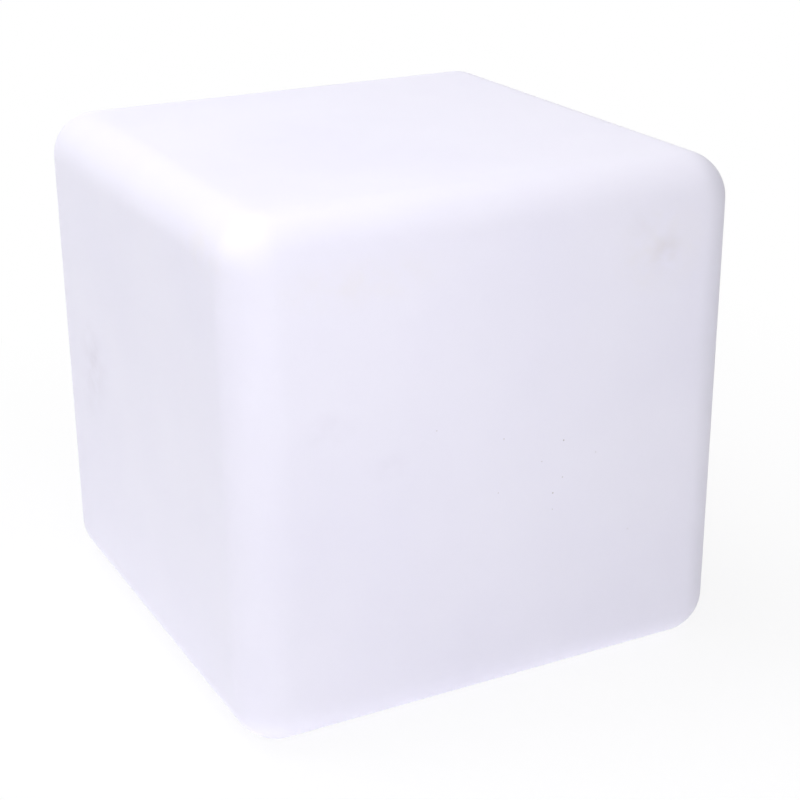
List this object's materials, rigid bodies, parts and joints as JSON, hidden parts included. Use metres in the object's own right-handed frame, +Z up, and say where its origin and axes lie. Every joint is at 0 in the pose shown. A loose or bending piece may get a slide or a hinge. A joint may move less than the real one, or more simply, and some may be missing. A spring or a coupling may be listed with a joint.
{
  "type": "led cube light",
  "caption": "Hollow rounded translucent cube lamp with a sealed rechargeable light unit, push switch and covered charging socket in its base recess.",
  "frame": {"origin": "on the ground, under the centre of the cube", "axes": "+Z up; +Y and +X along the sides of the square plan, with the switch and socket towards -Y underneath"},
  "size_m": [0.4, 0.4, 0.39],
  "materials": {
    "white_polyethylene": "matte, slightly translucent, moulded",
    "grey_abs": "satin moulded",
    "white_abs": "satin moulded",
    "opal_acrylic": "opal diffusing",
    "black_rubber": "matte",
    "grey_rubber": "matte soft",
    "stainless": "satin",
    "brass": "turned",
    "nickel": "plated",
    "black_plastic": "satin moulded",
    "white_board": "white solder mask",
    "green_board": "green solder mask",
    "emitter": "phosphor in a white package",
    "cell_wrap": "heat-shrink film",
    "foam": "soft foam",
    "smoke_lens": "dark lens",
    "indicator_lens": "clear tinted",
    "red_wire": "insulation",
    "black_wire": "insulation",
    "white_wire": "insulation",
    "grey_wire": "insulation",
    "cream_plastic": "nylon"
  },
  "bodies": {
    "cube": {"shell": "white_polyethylene", "threaded_inserts": "brass", "base_gasket": "black_rubber", "base_screws": "stainless", "base_housing": "white_abs", "deck": "white_abs", "deck_seal": "black_rubber", "deck_screws": "stainless", "led_board": "white_board", "led_board_screws": "stainless", "led_emitters": "emitter", "remote_sensor": "smoke_lens", "diffuser_dome": "opal_acrylic", "dome_seal": "black_rubber", "dome_screws": "stainless", "battery_cells": "cell_wrap", "battery_wrap": "cell_wrap", "battery_strips": "nickel", "battery_guard_board": "green_board", "battery_foam": "foam", "battery_tray": "black_plastic", "tray_screws": "stainless", "battery_clamp": "black_plastic", "clamp_screws": "stainless", "control_board": "green_board", "board_screws": "stainless", "controller_chips": "black_plastic", "power_inductor": "black_plastic", "capacitors": "black_plastic", "board_headers": "cream_plastic", "wire_plugs": "cream_plastic", "switch_body": "stainless", "switch_block": "black_plastic", "switch_washer": "black_rubber", "switch_nut": "nickel", "switch_terminals": "nickel", "switch_leads": "white_wire", "switch_spring": "stainless", "jack_body": "black_plastic", "jack_pin": "nickel", "jack_contact": "nickel", "jack_nut": "nickel", "jack_terminals": "nickel", "jack_leads": "red_wire", "cover_anchor": "grey_rubber", "pressure_vent": "grey_abs", "charge_indicator": "indicator_lens", "indicator_leads": "nickel", "led_cable": "grey_wire", "cable_grommet": "black_rubber", "battery_lead_red": "red_wire", "battery_lead_black": "black_wire"},
    "button": {"switch_button": "stainless"},
    "cover": {"socket_cover": "grey_rubber"}
  },
  "joints": [
    {"name": "button_press", "type": "slide", "parent": "cube", "child": "button", "axis": [0, 0, 1], "range_m": [0, 0.0015], "stiffness_N_per_m": 900, "springref_m": -0.0015, "deforming": ["switch_spring"]},
    {"name": "cover_hinge", "type": "hinge", "parent": "cube", "child": "cover", "pos_m": [0.024, -0.009, 0.0141], "axis": [1, 0, 0], "range_deg": [0, 100], "stiffness_Nm_per_rad": 0.005, "springref_deg": -14.32}
  ]
}
